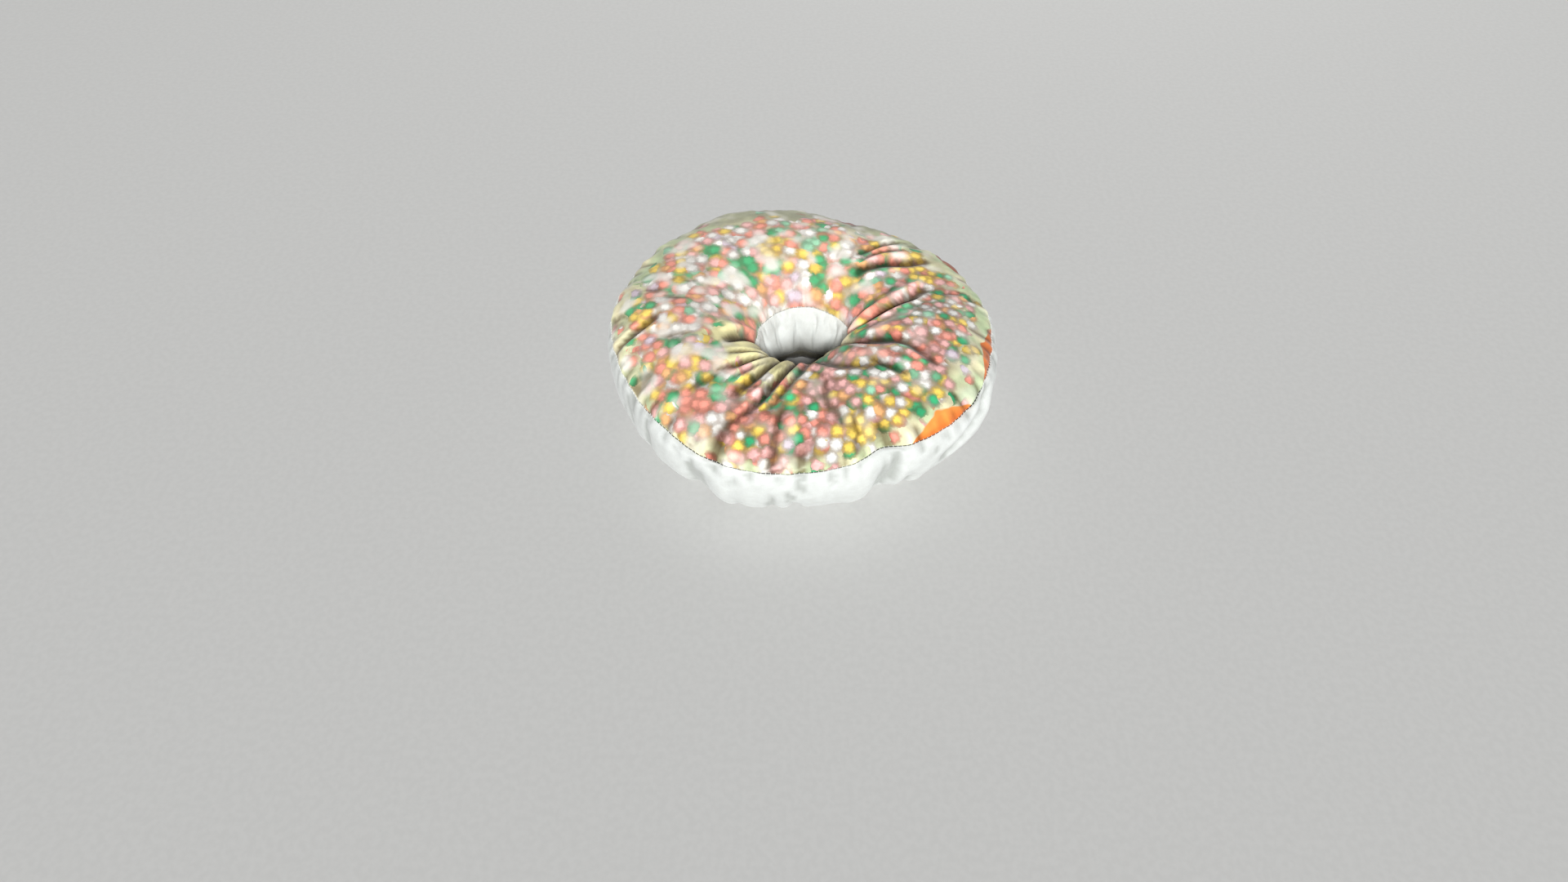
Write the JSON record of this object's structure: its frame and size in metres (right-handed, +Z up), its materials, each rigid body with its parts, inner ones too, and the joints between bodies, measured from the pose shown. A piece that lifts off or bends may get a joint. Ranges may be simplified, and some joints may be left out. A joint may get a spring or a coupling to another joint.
{
  "type": "doughnut cushion",
  "caption": "Stuffed plush cushion in the form of a ring doughnut: printed top with sprinkles, white side band, white tube through the hole and white base.",
  "frame": {"origin": "under the middle of the cushion, on the surface that it lies on", "axes": "+Z up along the hole; -Y towards the picture's camera; +X to its right"},
  "size_m": [0.4046, 0.4036, 0.1192],
  "materials": {
    "printed_plush": "short plush with a print of many small coloured sprinkles on pale icing",
    "white_plush": "short white plush",
    "wadding": "soft fibre wadding, hidden inside"
  },
  "bodies": {
    "root": {"printed_top": "printed_plush", "side_band": "white_plush", "hole_tube": "white_plush", "base_panel": "white_plush", "stuffing": "wadding"}
  },
  "joints": []
}
